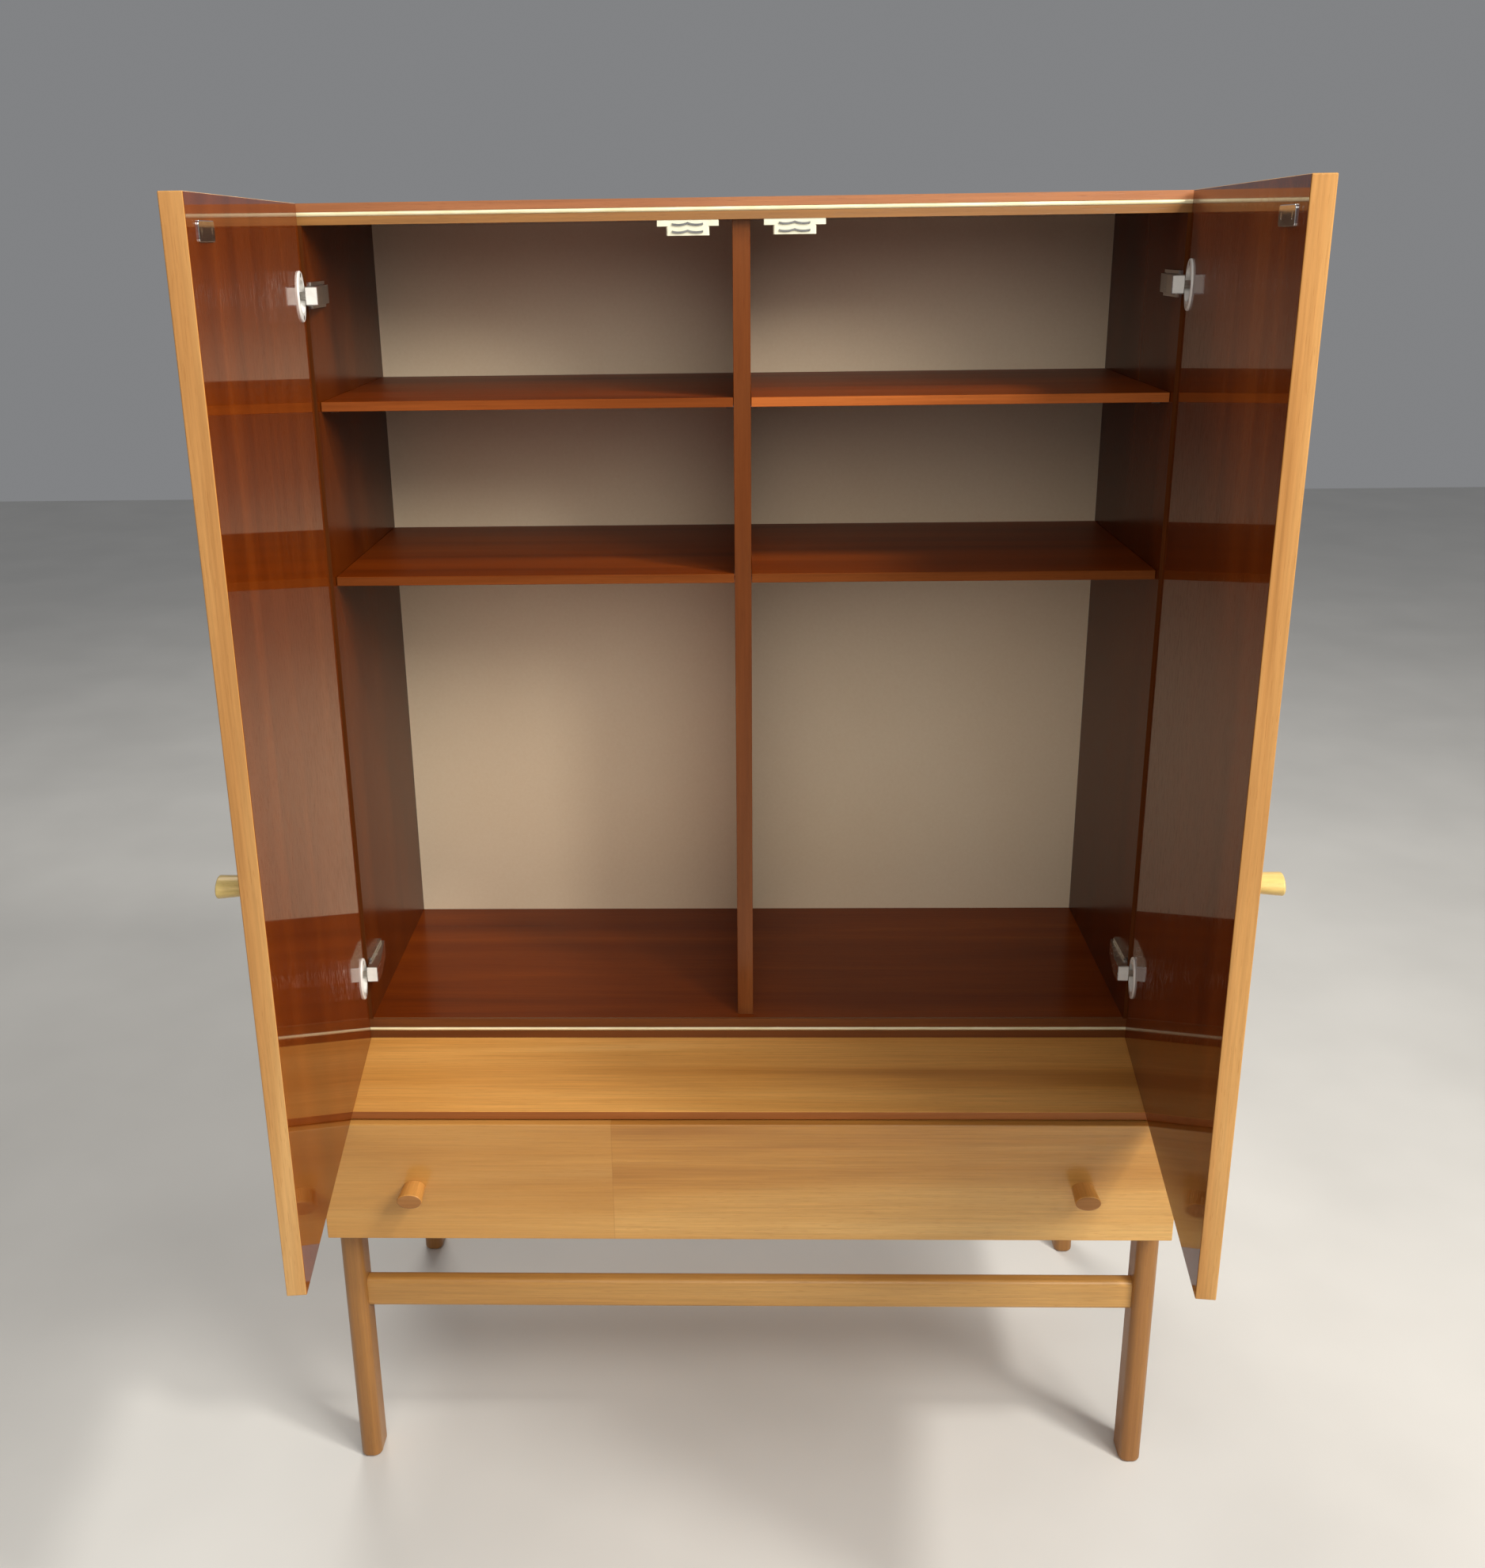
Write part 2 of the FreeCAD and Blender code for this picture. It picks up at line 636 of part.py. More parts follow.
def case_nodes(nodes):
    nodes["case_top"] = case_top()
    nodes["case_bottom"] = case_bottom()
    pair(nodes, "case_side_%s", case_side())
    nodes["divider"] = divider()
    nodes["back_panel"] = back_panel()
    for level, top in SHELF_TOPS.items():
        pair(nodes, "shelf_%s_" + level, shelf(top))
    pins = shelf_pins(INNER, -1, PIN_R, PIN_LEN) + shelf_pins(DIVIDER_T / 2, 1, PIN_R, PIN_LEN)
    nodes["shelf_pins"] = both_sides(pins)
    inner, bead, outer = lipped_front(CLEAR_TOP, CASE_TOP, TOP_INNER_LIP_H)
    nodes["top_lipping_inner"] = inner
    nodes["top_lipping_bead"] = bead
    nodes["top_lipping_outer"] = outer
    outer, bead, inner = lipped_front(CASE_BOTTOM, CLEAR_BOTTOM, BOTTOM_OUTER_LIP_H)
    nodes["bottom_lipping_outer"] = outer
    nodes["bottom_lipping_bead"] = bead
    nodes["bottom_lipping_inner"] = inner


def case_hardware_nodes(nodes):
    pair(nodes, "catch_%s", catch())
    nodes["catch_poles"] = both_sides(poles())
    pair(nodes, "hinge_arms_%s", Part.makeCompound([hinge_arm(z) for z in HINGE_ZS]))
    nodes["hinge_blocks"] = both_sides([hinge_block(z) for z in HINGE_ZS])
    nodes["hinge_plates"] = both_sides([hinge_plate(z) for z in HINGE_ZS])
    nodes["case_screws"] = Part.makeCompound(
        [both_sides(plate_screws(screw))] + catch_screws(screw))


def door_nodes(nodes):
    pair(nodes, "door_%s", opened(door()))
    pair(nodes, "door_knob_%s", opened(knob(door_knob_center(), DOOR_KNOB_L)))
    pair(nodes, "hinge_cups_%s", opened(Part.makeCompound([hinge_cup(z) for z in HINGE_ZS])))
    pair(nodes, "hinge_pins_%s", opened(Part.makeCompound([hinge_pin(z) for z in HINGE_ZS])))
    pair(nodes, "strike_%s", opened(strike()))
    pair(nodes, "door_screws_%s", opened(Part.makeCompound(door_screws(screw))))


def base_nodes(nodes):
    nodes["base_top"] = base_top()
    pair(nodes, "base_side_%s", base_side())
    nodes["base_floor"] = base_floor()
    nodes["base_back"] = base_back()
    nodes["base_stretcher"] = base_stretcher()
    nodes["drawer_runners"] = both_sides([runner()])


def drawer_nodes(nodes):
    nodes["drawer_front"] = drawer_front()
    pair(nodes, "drawer_side_%s", drawer_side())
    nodes["drawer_back"] = drawer_back()
    nodes["drawer_floor"] = drawer_floor()
    pair(nodes, "drawer_knob_%s", knob(drawer_knob_center(1), DRAWER_KNOB_L))


def frame_nodes(nodes):
    pair(nodes, "leg_front_%s", leg(FRONT_LEG_Y))
    pair(nodes, "leg_back_%s", leg(BACK_LEG_Y))
    nodes["rail_front"] = cross_rail(FRONT_LEG_Y)
    nodes["rail_back"] = cross_rail(BACK_LEG_Y)
    pair(nodes, "rail_%s", side_rail())
    nodes["frame_screws"] = both_sides(frame_screws(screw))


def front_plane_y():
    """Where the case front lies once the whole outline is centred in y."""
    angle = math.radians(REST_ANGLE)
    reach = (DOOR_EDGE - PIVOT_IN) * math.sin(angle)
    reach += (DOOR_T - PIVOT_DEPTH) * math.cos(angle)
    foremost = PIVOT_Y - reach
    return -(foremost + CASE_D) / 2


def main():
    os.makedirs("parts", exist_ok=True)
    nodes = {}
    case_nodes(nodes)
    case_hardware_nodes(nodes)
    door_nodes(nodes)
    base_nodes(nodes)
    drawer_nodes(nodes)
    frame_nodes(nodes)
    shift = V(0, front_plane_y(), 0)
    for name, shape in nodes.items():
        shape.translate(shift)
        if not shape.isValid():
            print("not valid:", name)
        shape.exportStep("parts/%s.step" % name)
    outline = Part.makeCompound(list(nodes.values())).BoundBox
    print(len(nodes), "nodes, front plane y = %.3f" % front_plane_y())
    print("x %.2f..%.2f" % (outline.XMin, outline.XMax))
    print("y %.2f..%.2f" % (outline.YMin, outline.YMax))
    print("z %.2f..%.2f" % (outline.ZMin, outline.ZMax))


main()
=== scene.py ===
import math

import bpy
from mathutils import Matrix, Vector

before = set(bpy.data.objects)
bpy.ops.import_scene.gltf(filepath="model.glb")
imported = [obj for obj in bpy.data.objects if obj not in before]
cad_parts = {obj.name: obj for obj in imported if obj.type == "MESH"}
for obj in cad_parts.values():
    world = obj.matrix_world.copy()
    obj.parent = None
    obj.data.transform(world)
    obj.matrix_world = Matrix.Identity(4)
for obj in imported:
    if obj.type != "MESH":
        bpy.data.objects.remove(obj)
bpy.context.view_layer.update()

# A linen wardrobe with open doors: glossy mahogany inside, honey-coloured
# satin veneer outside, on a chest with one drawer and a leg frame.
# Metres throughout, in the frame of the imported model.

REST_ANGLE = math.radians(84)

# --- camera: stands in front of the middle and looks down a little to the left ---
CAMERA_PLACE = Vector((-0.0015, -1.5116, 1.4062))
CAMERA_PITCH = math.radians(17.91)
CAMERA_YAW = math.radians(1.62)
CAMERA_ROLL = math.radians(0.83)
CAMERA_LENS = 34.68
CAMERA_SHIFT = (0.0259, -0.0400)

# --- light ---
AIM = Vector((0, 0, 0.85))
# name: (direction from the aim, distance, disc diameter, power in watts)
LIGHTS = {
    "key": (Vector((0.62, -0.42, 0.9)), 3.2, 0.4, 50),
    "window": (Vector((0.78, -0.80, 0.75)), 3.0, 1.2, 62),
    "front": (Vector((0.12, -1.0, 0.72)), 3.0, 2.6, 40),
    "back": (Vector((-0.3, 1.0, 1.1)), 3.4, 1.6, 50),
}
LIGHT_COLOUR = (1, 0.96, 0.89)
WORLD_COLOUR = (0.60, 0.61, 0.63)
WORLD_STRENGTH = 0.37
FLOOR_SIZE = 14.0

# --- directions that tell one face of a board from another ---
LEFT_DOOR_INSIDE = (math.sin(REST_ANGLE), math.cos(REST_ANGLE), 0)
RIGHT_DOOR_INSIDE = (-math.sin(REST_ANGLE), math.cos(REST_ANGLE), 0)
UP, DOWN = (0, 0, 1), (0, 0, -1)
LEFT, RIGHT = (-1, 0, 0), (1, 0, 0)
FRONT = (0, -1, 0)
FACING_COSINE = 0.8            # a surface this close to a direction faces it

# --- roughness of the lacquers ---
GLOSS = 0.04
HALF_GLOSS = 0.2
KNOB_SHEEN = 0.3
TOP_SHEEN = 0.34
LEG_SHEEN = 0.36
SATIN = 0.42
WORN_END = 0.5
UNLACQUERED = 0.55

# --- strength of the mirror image in a lacquer; a new material has FULL_MIRROR ---
FULL_MIRROR = 0.5
WEAK_MIRROR = 0.15
FAINT_MIRROR = 0.08
LACQUER_TINT = (1.0, 0.72, 0.5, 1.0)

# --- wood: repeats per metre along and across the grain ---
STREAK_REPEATS = (0.9, 18.0)
CLOUD_REPEATS = (1.1, 6.0)
GRAIN_REPEATS = (9.0, 420.0)
PORE_REPEATS = (55.0, 1500.0)
STREAK_SHARE = 0.62            # the rest of the tone comes from the clouds
TONE_SPREAD = 0.17             # half the range of noise that a contrast of 1 uses
TONE_STOPS = (0.0, 0.35, 0.7, 1.0)
GRAIN_DARKEST = 0.8
BLACK_TO_WHITE = ((0.0, (0, 0, 0)), (1.0, (1, 1, 1)))
PORE_DARKNESS = 0.35
PORE_RANGE = (0.62, 0.7)       # noise values where a pore begins and is complete
NOISE_RANGE = (0.3, 0.7)       # noise values that carry nearly all of a texture

# --- depth of the relief, in metres ---
SATIN_RELIEF = 0.00006
BOARD_RELIEF = 0.00005
DRAWER_RELIEF = 0.00003
PLASTIC_RELIEF = 0.00003
LACQUER_RELIEF = 0.00002
METAL_RELIEF = 0.00001
FLOOR_RELIEF = 0.0001

# --- the drawer front's two veneer leaves ---
VENEER_SEAM_X = -0.147
VENEER_SEAM_HALF = 0.0006
LEAF_SHARE = 0.45              # how far the left leaf differs from the right one
SEAM_SHARE = 0.2               # how dark the seam is

# (side, direction of its inner face, brightness inside, mirror strength); the right door's darker
# inside is painted shade
DOORS = (("left", LEFT_DOOR_INSIDE, 1.0, 0.35), ("right", RIGHT_DOOR_INSIDE, 0.85, 0.2))
# (place, brightness of the front edge: lighter and darker copies of one edge tone, which are
# painted light and painted shade)
SHELVES = (("left_upper", 0.95), ("right_upper", 1.45),
           ("left_lower", 0.65), ("right_lower", 0.65))


# ------------------------------------------------------------ node helpers

class Finish:
    """A material while it is being built."""

    # places of the sockets of a Mix node: (first input, second input, output)
    MIX_NUMBERS = (2, 3, 0)
    MIX_COLOURS = (6, 7, 2)

    def __init__(self, name):
        self.material = bpy.data.materials.new(name)
        self.material.use_nodes = True
        self.tree = self.material.node_tree
        self.shader = next(n for n in self.tree.nodes if n.type == "BSDF_PRINCIPLED")
        self.coords = self.add("ShaderNodeTexCoord")

    def add(self, kind, settings=(), **inputs):
        node = self.tree.nodes.new(kind)
        for key, value in dict(settings).items():
            setattr(node, key, value)
        for key, value in inputs.items():
            self.put(node.inputs[key.replace("_", " ")], value)
        return node

    def put(self, socket, value):
        if isinstance(value, bpy.types.NodeSocket):
            self.tree.links.new(value, socket)
        else:
            socket.default_value = value

    def math(self, operation, a, b=0.0):
        node = self.add("ShaderNodeMath", {"operation": operation})
        self.put(node.inputs[0], a)
        self.put(node.inputs[1], b)
        return node.outputs[0]

    def mixed(self, settings, sockets, share, a, b):
        """A Mix node's result; sockets says where its inputs and its output are."""
        node = self.add("ShaderNodeMix", settings)
        first, second, result = sockets
        self.put(node.inputs[0], share)
        self.put(node.inputs[first], a)
        self.put(node.inputs[second], b)
        return node.outputs[result]

    def mix(self, share, a, b, blend="MIX"):
        """Colour a where share is 0 and b where it is 1."""
        settings = {"data_type": "RGBA", "blend_type": blend}
        return self.mixed(settings, self.MIX_COLOURS, share, a, b)

    def blend(self, share, a, b):
        """Number a where share is 0 and b where it is 1."""
        return self.mixed({"data_type": "FLOAT"}, self.MIX_NUMBERS, share, a, b)

    def stretched(self, scale, shift=(0, 0, 0)):
        """Object coordinates, scaled per axis."""
        node = self.add("ShaderNodeMapping", Vector=self.coords.outputs["Object"],
                        Scale=scale, Location=shift)
        return node.outputs[0]

    def noise(self, vector, detail=3.0, roughness=0.5, distortion=0.0):
        node = self.add("ShaderNodeTexNoise", Vector=vector, Scale=1.0, Detail=detail,
                        Roughness=roughness, Distortion=distortion)
        return node.outputs["Fac"]

    def weighed(self, a, b, share):
        """The sum of a and b, in which a has this share."""
        return self.math("ADD", self.math("MULTIPLY", a, share),
                         self.math("MULTIPLY", b, 1 - share))

    def span(self, value, low, high, to_low=0.0, to_high=1.0):
        """value from low..high to to_low..to_high, held at both ends."""
        node = self.add("ShaderNodeMapRange", Value=value, From_Min=low, From_Max=high,
                        To_Min=to_low, To_Max=to_high)
        return node.outputs[0]

    def ramp(self, value, stops):
        """Colours at the given places between 0 and 1."""
        node = self.add("ShaderNodeValToRGB", Fac=value)
        elements = node.color_ramp.elements
        while len(elements) < len(stops):
            elements.new(0.5)
        for element, (place, colour) in zip(elements, stops):
            element.position = place
            element.color = (*colour, 1)
        return node.outputs[0]

    def facing(self, direction):
        """1 where the surface faces that way, 0 elsewhere."""
        node = self.add("ShaderNodeVectorMath", {"operation": "DOT_PRODUCT"})
        self.put(node.inputs[0], self.coords.outputs["Normal"])
        self.put(node.inputs[1], direction)
        return self.math("GREATER_THAN", node.outputs["Value"], FACING_COSINE)

    def place(self, axis):
        """The object coordinate along X, Y or Z."""
        node = self.add("ShaderNodeSeparateXYZ", Vector=self.coords.outputs["Object"])
        return node.outputs[axis]

    def finish(self, colour, roughness, height, depth, **constants):
        """Connects the shader and returns the material; depth is the relief in metres."""
        self.put(self.shader.inputs["Base Color"], colour)
        self.put(self.shader.inputs["Roughness"], roughness)
        bump = self.add("ShaderNodeBump", Height=height, Distance=depth, Strength=1.0)
        self.put(self.shader.inputs["Normal"], bump.outputs[0])
        for key, value in constants.items():
            self.shader.inputs[key.replace("_", " ")].default_value = value
        return self.material


def srgb(red, green, blue):
    """Linear colour from the 0..255 values of a screen."""
    def linear(v):
        v /= 255
        return v / 12.92 if v <= 0.04045 else ((v + 0.055) / 1.055) ** 2.4
    return tuple(linear(v) for v in (red, green, blue))


def along(axis, slow, fast):
    """Texture scale with long features along the axis and narrow ones across it."""
    return tuple(slow if axis == letter else fast for letter in "XYZ")


# ------------------------------------------------------------------- woods

def tones(contrast, *colours):
    """How strongly the streaks show, and the tones from their darkest to their palest."""
    return contrast, [srgb(*colour) for colour in colours]


def scaled(finish, factor):
    """The same tones, darker or brighter."""
    contrast, colours = finish
    return contrast, [tuple(min(c * factor, 1.0) for c in colour) for colour in colours]


GOLDEN = tones(0.9, (160, 104, 44), (190, 134, 64), (206, 153, 82), (220, 172, 102))
RUDDY = tones(0.9, (112, 56, 20), (140, 76, 30), (160, 92, 40), (178, 108, 52))
MAHOGANY = tones(0.7, (88, 31, 2), (115, 46, 4), (133, 58, 8), (155, 76, 16))
SHELF_EDGE = tones(0.8, (118, 58, 24), (144, 76, 34), (162, 90, 43), (178, 106, 54))
LEG = tones(0.8, (127, 79, 31), (151, 99, 45), (164, 113, 55), (177, 127, 67))
RAIL = tones(0.8, (158, 106, 48), (184, 132, 66), (198, 148, 80), (210, 162, 94))
LIP_RED = tones(0.9, (132, 74, 40), (158, 96, 56), (176, 114, 70), (194, 134, 88))
LIP_GOLD = tones(0.9, (120, 78, 34), (150, 102, 50), (166, 118, 62), (182, 134, 74))
LIP_BROWN = tones(0.8, (88, 46, 18), (112, 62, 26), (130, 76, 34), (146, 90, 44))
DOOR_EDGE = tones(1.3, (154, 104, 54), (186, 134, 78), (204, 154, 94), (222, 176, 116))
KNOB = tones(0.7, (176, 118, 52), (198, 138, 68), (212, 154, 82), (224, 170, 98))
# Paler, yellower knob tones for the door knobs: painted light on the strongly lit knobs.
DOOR_KNOB_PAINTED_LIGHT = tones(0.7, (186, 154, 88), (206, 176, 106), (220, 194, 124), (234, 210, 142))
# Darker tones for the knobs' end faces: end grain, and partly painted shade.
KNOB_END_GRAIN_AND_SHADE = tones(0.8, (132, 84, 40), (156, 104, 56), (170, 118, 68), (184, 132, 80))
# A brighter copy of the golden for the base top: painted light falling on the chest's top.
TOP_GOLDEN_PAINTED_LIGHT = scaled(GOLDEN, 1.36)
BOTTOM_MAHOGANY = scaled(MAHOGANY, 0.95)
# A darker copy of the mahogany for the inner faces of the case sides: painted shade, and partly the
# sides' own darker tone.
SIDE_MAHOGANY_PAINTED_SHADE = scaled(MAHOGANY, 0.55)
# A much darker copy of the shelf-edge tone for the case sides' front edges: painted shade along the
# hinge line.
SIDE_EDGE_PAINTED_SHADE = scaled(SHELF_EDGE, 0.35)
# A darker copy of the shelf-edge tone for the divider's front edge: painted shade.
DIVIDER_EDGE_PAINTED_SHADE = scaled(SHELF_EDGE, 0.55)
LIP_DARK = scaled(RUDDY, 0.6)


def wood(f, axis, finish, seed=0.0):
    """Colour and height of wood whose grain runs along the axis.

    Wide streaks carry the tone, a fine grain runs through them, and short
    dark pores lie in the grain."""
    contrast, colours = finish
    shift = (seed, seed * 1.7, seed * 2.3)
    wide = f.noise(f.stretched(along(axis, *STREAK_REPEATS), shift), 3.0, 0.55, 0.5)
    cloud = f.noise(f.stretched(along(axis, *CLOUD_REPEATS), shift), 2.0)
    fine = f.noise(f.stretched(along(axis, *GRAIN_REPEATS), shift), 3.0, 0.6)
    pore = f.noise(f.stretched(along(axis, *PORE_REPEATS), shift), 1.0)
    tone = f.weighed(wide, cloud, STREAK_SHARE)
    half = TONE_SPREAD / contrast
    tone = f.span(tone, 0.5 - half, 0.5 + half)
    colour = f.ramp(tone, list(zip(TONE_STOPS, colours)))
    grain = f.ramp(f.span(fine, *NOISE_RANGE, GRAIN_DARKEST, 1.0), BLACK_TO_WHITE)
    colour = f.mix(1.0, colour, grain, "MULTIPLY")
    holes = f.span(pore, *PORE_RANGE)
    colour = f.mix(f.math("MULTIPLY", holes, PORE_DARKNESS), colour, (*colours[0], 1))
    height = f.math("SUBTRACT", fine, holes)
    return colour, height


def satin_wood(name, axis, finish, seed=0.0, roughness=SATIN):
    """Wood that looks the same on every face, worn unevenly."""
    f = Finish(name)
    colour, height = wood(f, axis, finish, seed)
    worn = f.noise(f.stretched((7, 7, 7)))
    uneven = f.span(worn, *NOISE_RANGE, roughness - 0.06, roughness + 0.08)
    return f.finish(colour, uneven, height, SATIN_RELIEF)


def faced_wood(name, faces, seed=0.0, specular=FULL_MIRROR):
    """Wood whose faces differ. Each entry is (direction or None, axis, tones,
    roughness); a later entry covers an earlier one."""
    f = Finish(name)
    colour = roughness = height = None
    for direction, axis, face_finish, gloss in faces:
        face_colour, face_height = wood(f, axis, face_finish, seed)
        if colour is None:
            colour, roughness, height = face_colour, gloss, face_height
            continue
        share = f.facing(direction)
        colour = f.mix(share, colour, face_colour)
        roughness = f.blend(share, roughness, gloss)
        height = f.blend(share, height, face_height)
    return f.finish(colour, roughness, height, LACQUER_RELIEF,
                    Specular_Tint=LACQUER_TINT, Specular_IOR_Level=specular)


# ----------------------------------------------------------- other finishes

def two_tone(f, noise, darker, paler):
    """Colour that follows the noise between two tones."""
    return f.ramp(noise, list(zip(NOISE_RANGE, (darker, paler))))


def bead_finish():
    f = Finish("cream_bead")
    mottle = f.noise(f.stretched((40, 300, 300)))
    colour = two_tone(f, mottle, srgb(226, 214, 168), srgb(246, 238, 202))
    return f.finish(colour, f.span(mottle, *NOISE_RANGE, 0.3, 0.42), mottle, LACQUER_RELIEF)


def board_finish():
    f = Finish("back_board")
    speckle = f.noise(f.stretched((260, 260, 260)), 4.0, 0.6)
    cloud = f.noise(f.stretched((2.5, 2.5, 2.5)))
    tone = f.weighed(speckle, cloud, 0.3)
    colour = two_tone(f, tone, srgb(240, 218, 184), srgb(250, 232, 202))
    return f.finish(colour, f.span(cloud, *NOISE_RANGE, 0.38, 0.5), speckle, BOARD_RELIEF)


def plastic(name, colour):
    f = Finish(name)
    mottle = f.noise(f.stretched((90, 90, 90)), 4.0)
    shades = two_tone(f, mottle, tuple(c * 0.9 for c in colour), colour)
    return f.finish(shades, f.span(mottle, *NOISE_RANGE, 0.25, 0.38), mottle, PLASTIC_RELIEF)


def metal(name, colour, roughness):
    f = Finish(name)
    scratches = f.noise(f.stretched((60, 60, 900)))
    shades = two_tone(f, scratches, tuple(c * 0.8 for c in colour), colour)
    uneven = f.span(scratches, *NOISE_RANGE, roughness * 0.7, roughness * 1.4)
    return f.finish(shades, uneven, scratches, METAL_RELIEF, Metallic=1.0)


# ---------------------------------------------------------------- painting

def paint(material, *names):
    """Gives CAD nodes their finish."""
    for name in names:
        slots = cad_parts[name].data.materials
        slots.clear()
        slots.append(material)


def paint_shell():
    """Top, bottom and sides: golden outside, mahogany inside."""
    faces = [(None, "X", GOLDEN, SATIN), (DOWN, "X", MAHOGANY, GLOSS)]
    paint(faced_wood("case_top_wood", faces), "case_top")
    faces = [(None, "X", GOLDEN, SATIN), (UP, "X", BOTTOM_MAHOGANY, HALF_GLOSS)]
    paint(faced_wood("case_bottom_wood", faces, seed=3.0, specular=WEAK_MIRROR), "case_bottom")
    # The inner faces get the darker mahogany, which is painted shade.
    for side, inwards in (("left", RIGHT), ("right", LEFT)):
        faces = [(None, "Z", GOLDEN, SATIN),
                 (FRONT, "Z", SIDE_EDGE_PAINTED_SHADE, SATIN),
                 (inwards, "Z", SIDE_MAHOGANY_PAINTED_SHADE, HALF_GLOSS)]
        paint(faced_wood("case_side_wood_" + side, faces, seed=5.0, specular=FAINT_MIRROR),
              "case_side_" + side)


def paint_inside():
    # The divider's front edge gets the darker edge tone, which is painted shade.
    faces = [(None, "Z", MAHOGANY, GLOSS), (FRONT, "Z", DIVIDER_EDGE_PAINTED_SHADE, HALF_GLOSS)]
    paint(faced_wood("divider_wood", faces, seed=7.0), "divider")
    # Each shelf's front edge is made lighter or darker: painted light and painted shade.
    for number, (place, edge_light_and_shade) in enumerate(SHELVES):
        faces = [(None, "X", MAHOGANY, SATIN),
                 (FRONT, "X", scaled(SHELF_EDGE, edge_light_and_shade), HALF_GLOSS)]
        wood_finish = faced_wood("shelf_wood_" + place, faces, seed=11.0 + number,
                                 specular=FAINT_MIRROR)
        paint(wood_finish, "shelf_" + place)
    paint(board_finish(), "back_panel")


def paint_lippings():
    paint(satin_wood("lipping_gold", "X", LIP_GOLD, seed=21.0), "top_lipping_inner")
    paint(satin_wood("lipping_red", "X", LIP_RED, seed=22.0), "top_lipping_outer")
    paint(satin_wood("lipping_dark", "X", LIP_DARK, seed=23.0), "bottom_lipping_outer")
    paint(satin_wood("lipping_olive", "X", LIP_BROWN, seed=24.0), "bottom_lipping_inner")
    paint(bead_finish(), "top_lipping_bead", "bottom_lipping_bead")


def paint_doors():
    # The inside brightness darkens the right door's mahogany: painted shade.
    for side, inside, tone, specular in DOORS:
        faces = [(None, "Z", GOLDEN, SATIN),
                 (FRONT, "Z", DOOR_EDGE, SATIN),
                 (inside, "Z", scaled(MAHOGANY, tone), GLOSS)]
        paint(faced_wood("door_wood_" + side, faces, seed=31.0, specular=specular),
              "door_" + side)


def drawer_front_finish():
    """Two veneer leaves that meet left of the middle."""
    f = Finish("drawer_front_wood")
    colour, height = wood(f, "X", GOLDEN, 43.0)
    other_colour, _ = wood(f, "X", GOLDEN, 43.4)
    x = f.place("X")
    left_leaf = f.math("LESS_THAN", x, VENEER_SEAM_X)
    colour = f.mix(f.math("MULTIPLY", left_leaf, LEAF_SHARE), colour, other_colour)
    from_seam = f.math("ABSOLUTE", f.math("SUBTRACT", x, VENEER_SEAM_X))
    seam = f.math("LESS_THAN", from_seam, VENEER_SEAM_HALF)
    colour = f.mix(f.math("MULTIPLY", seam, SEAM_SHARE), colour, (*srgb(140, 92, 44), 1))
    smears = f.noise(f.stretched((9, 9, 9)))
    return f.finish(colour, f.span(smears, *NOISE_RANGE, 0.16, 0.26), height, DRAWER_RELIEF)


def paint_chest():
    # The base top's upper face gets the brighter golden, which is painted light.
    faces = [(None, "X", TOP_GOLDEN_PAINTED_LIGHT, TOP_SHEEN), (FRONT, "X", RUDDY, SATIN)]
    paint(faced_wood("base_top_wood", faces, seed=41.0), "base_top")
    paint(drawer_front_finish(), "drawer_front")
    paint(satin_wood("base_side_wood", "Y", GOLDEN, seed=44.0), "base_side_left", "base_side_right")
    paint(satin_wood("plain_wood_x", "X", GOLDEN, seed=45.0, roughness=UNLACQUERED),
          "base_floor", "base_back", "base_stretcher", "drawer_back", "drawer_floor")
    paint(satin_wood("plain_wood_y", "Y", GOLDEN, seed=46.0, roughness=UNLACQUERED),
          "drawer_side_left", "drawer_side_right", "drawer_runners")


def paint_legs():
    paint(satin_wood("leg_wood", "Z", LEG, seed=51.0, roughness=LEG_SHEEN),
          "leg_front_left", "leg_front_right", "leg_back_left", "leg_back_right")
    paint(satin_wood("rail_wood_x", "X", RAIL, seed=52.0, roughness=LEG_SHEEN),
          "rail_front", "rail_back")
    paint(satin_wood("rail_wood_y", "Y", RAIL, seed=53.0, roughness=LEG_SHEEN),
          "rail_left", "rail_right")


def knob_finish(name, axis, finish, outwards):
    """A knob's stem runs along the axis and its end faces outwards; the end face is darker, end
    grain and partly painted shade.
    """
    faces = [(None, axis, finish, KNOB_SHEEN), (outwards, "X", KNOB_END_GRAIN_AND_SHADE, WORN_END)]
    return faced_wood(name, faces, seed=61.0)


def opposite(direction):
    return tuple(-v for v in direction)


def paint_fittings():
    paint(knob_finish("drawer_knob_wood", "Y", KNOB, FRONT),
          "drawer_knob_left", "drawer_knob_right")
    # The door knobs get the paler, yellower tones, which are painted light.
    for side, inside, *_ in DOORS:
        paint(knob_finish("door_knob_wood_" + side, "X", DOOR_KNOB_PAINTED_LIGHT, opposite(inside)),
              "door_knob_" + side)
    paint(plastic("white_plastic", srgb(246, 245, 240)),
          "hinge_cups_left", "hinge_cups_right", "hinge_blocks")
    paint(plastic("catch_plastic", srgb(236, 234, 208)), "catch_left", "catch_right")
    paint(metal("bright_metal", srgb(226, 226, 224), 0.2),
          "hinge_arms_left", "hinge_arms_right", "hinge_plates", "hinge_pins_left",
          "hinge_pins_right", "door_screws_left", "door_screws_right")
    paint(metal("chrome", srgb(236, 240, 240), 0.08), "strike_left", "strike_right")
    paint(metal("plain_steel", srgb(150, 150, 150), 0.3),
          "catch_poles", "case_screws", "frame_screws", "shelf_pins")


# -------------------------------------------------------------- the studio

def aimed(place, target):
    """A matrix at place whose -Z looks at target."""
    turn = (target - place).to_track_quat("-Z", "Y").to_matrix().to_4x4()
    return Matrix.Translation(place) @ turn


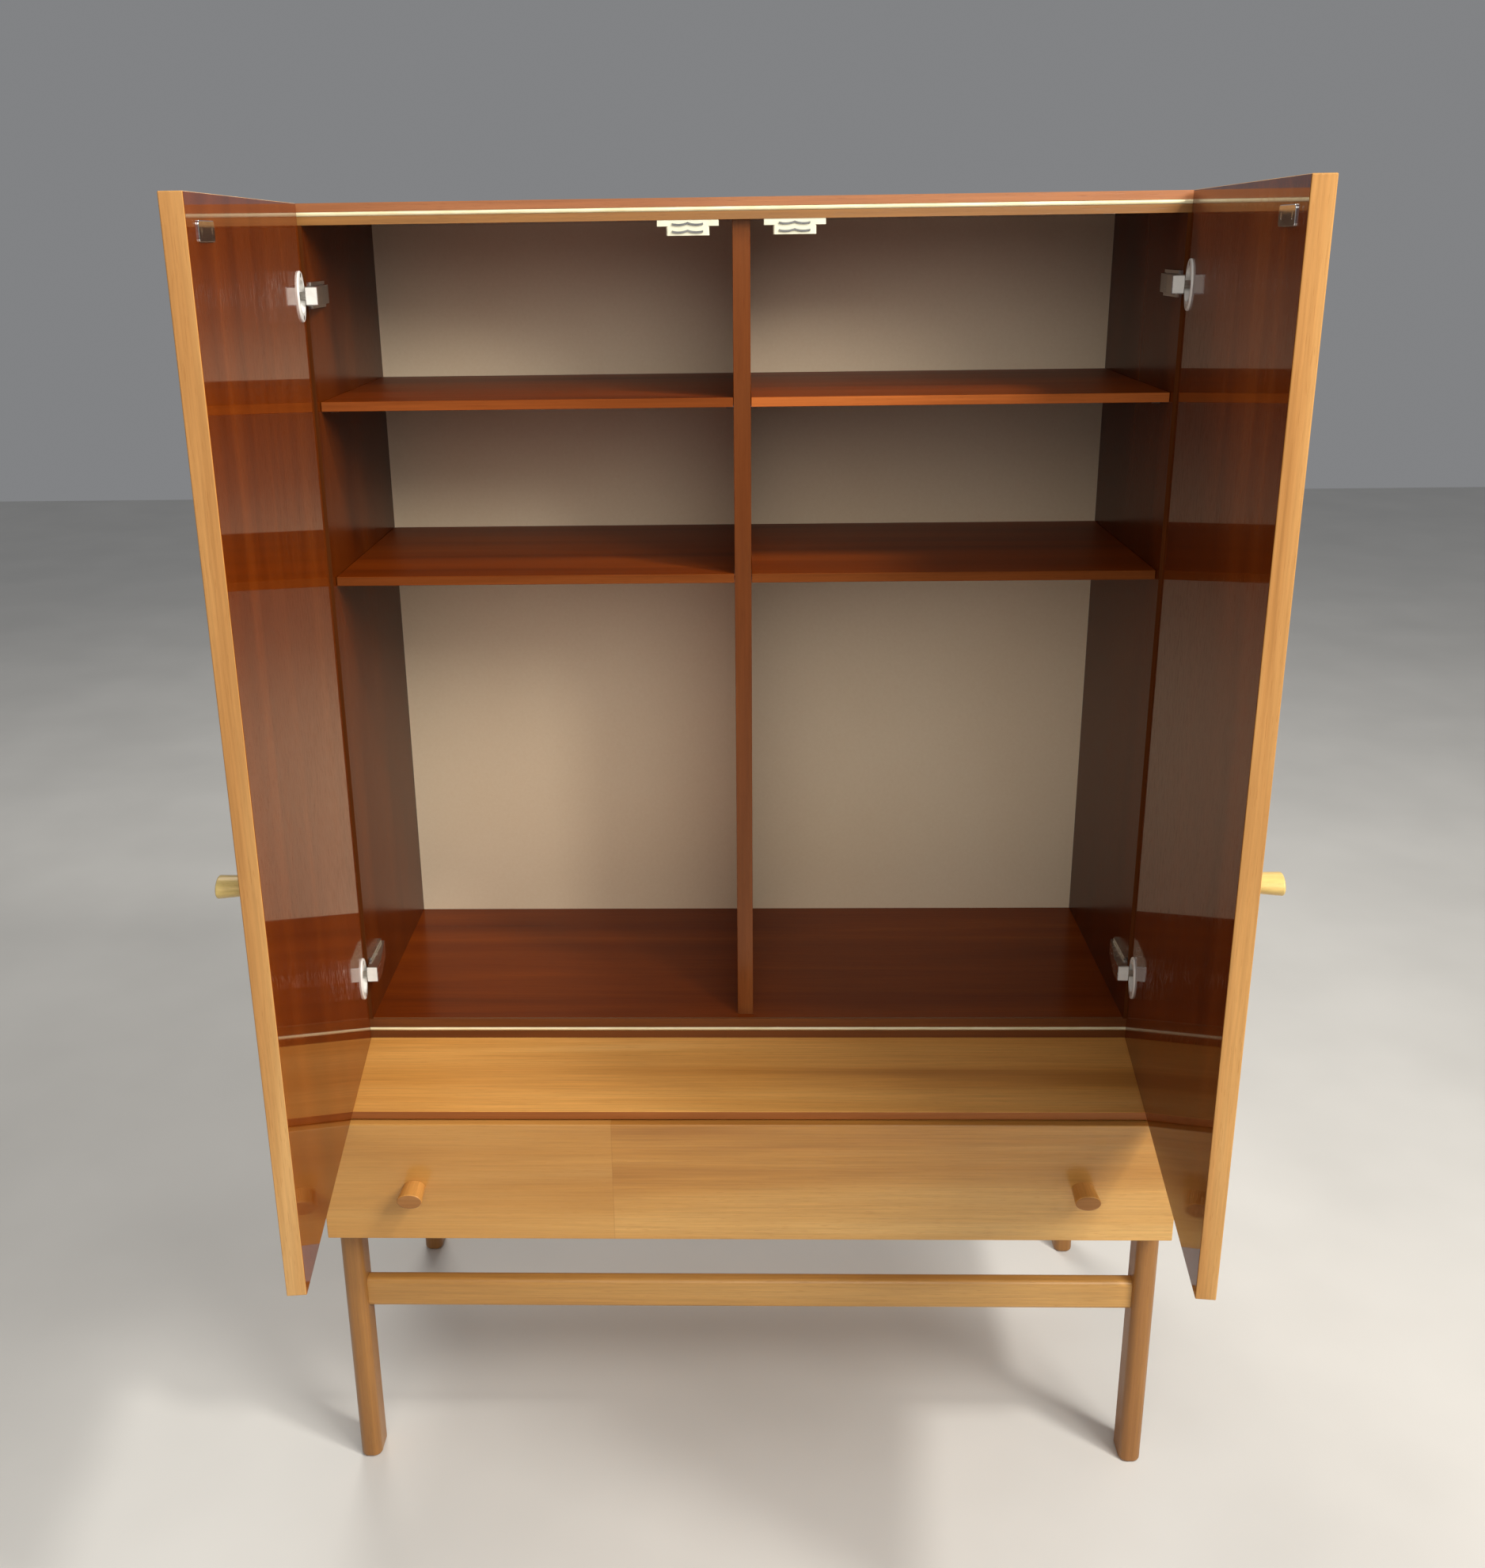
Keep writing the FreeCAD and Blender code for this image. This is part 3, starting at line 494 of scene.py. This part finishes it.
def area_light(name, direction, distance, size, power):
    data = bpy.data.lights.new(name, "AREA")
    data.shape = "DISK"
    data.size = size
    data.energy = power
    data.color = LIGHT_COLOUR
    light = bpy.data.objects.new(name, data)
    light.matrix_world = aimed(AIM + direction.normalized() * distance, AIM)
    bpy.context.collection.objects.link(light)


def add_lights():
    for name, settings in LIGHTS.items():
        area_light(name, *settings)
    world = bpy.data.worlds.new("studio")
    world.use_nodes = True
    background = world.node_tree.nodes["Background"]
    background.inputs["Color"].default_value = (*WORLD_COLOUR, 1)
    background.inputs["Strength"].default_value = WORLD_STRENGTH
    bpy.context.scene.world = world


def add_floor():
    half = FLOOR_SIZE / 2
    mesh = bpy.data.meshes.new("floor")
    corners = [(-half, -half, 0), (half, -half, 0), (half, half, 0), (-half, half, 0)]
    mesh.from_pydata(corners, [], [(0, 1, 2, 3)])
    floor = bpy.data.objects.new("floor", mesh)
    bpy.context.collection.objects.link(floor)
    f = Finish("pale_floor")
    cloud = f.noise(f.stretched((3, 3, 3)))
    colour = two_tone(f, cloud, srgb(206, 205, 202), srgb(214, 213, 210))
    roughness = f.span(cloud, *NOISE_RANGE, 0.5, 0.6)
    mesh.materials.append(f.finish(colour, roughness, cloud, FLOOR_RELIEF))


def add_camera():
    data = bpy.data.cameras.new("camera")
    data.lens = CAMERA_LENS
    data.shift_x, data.shift_y = CAMERA_SHIFT
    camera = bpy.data.objects.new("camera", data)
    yaw = Matrix.Rotation(CAMERA_YAW, 4, "Z")
    pitch = Matrix.Rotation(math.pi / 2 - CAMERA_PITCH, 4, "X")
    roll = Matrix.Rotation(-CAMERA_ROLL, 4, "Z")
    camera.matrix_world = Matrix.Translation(CAMERA_PLACE) @ yaw @ pitch @ roll
    bpy.context.collection.objects.link(camera)
    bpy.context.scene.camera = camera


paint_shell()
paint_inside()
paint_lippings()
paint_doors()
paint_chest()
paint_legs()
paint_fittings()
add_floor()
add_lights()
add_camera()
bpy.context.scene.view_settings.view_transform = "Standard"
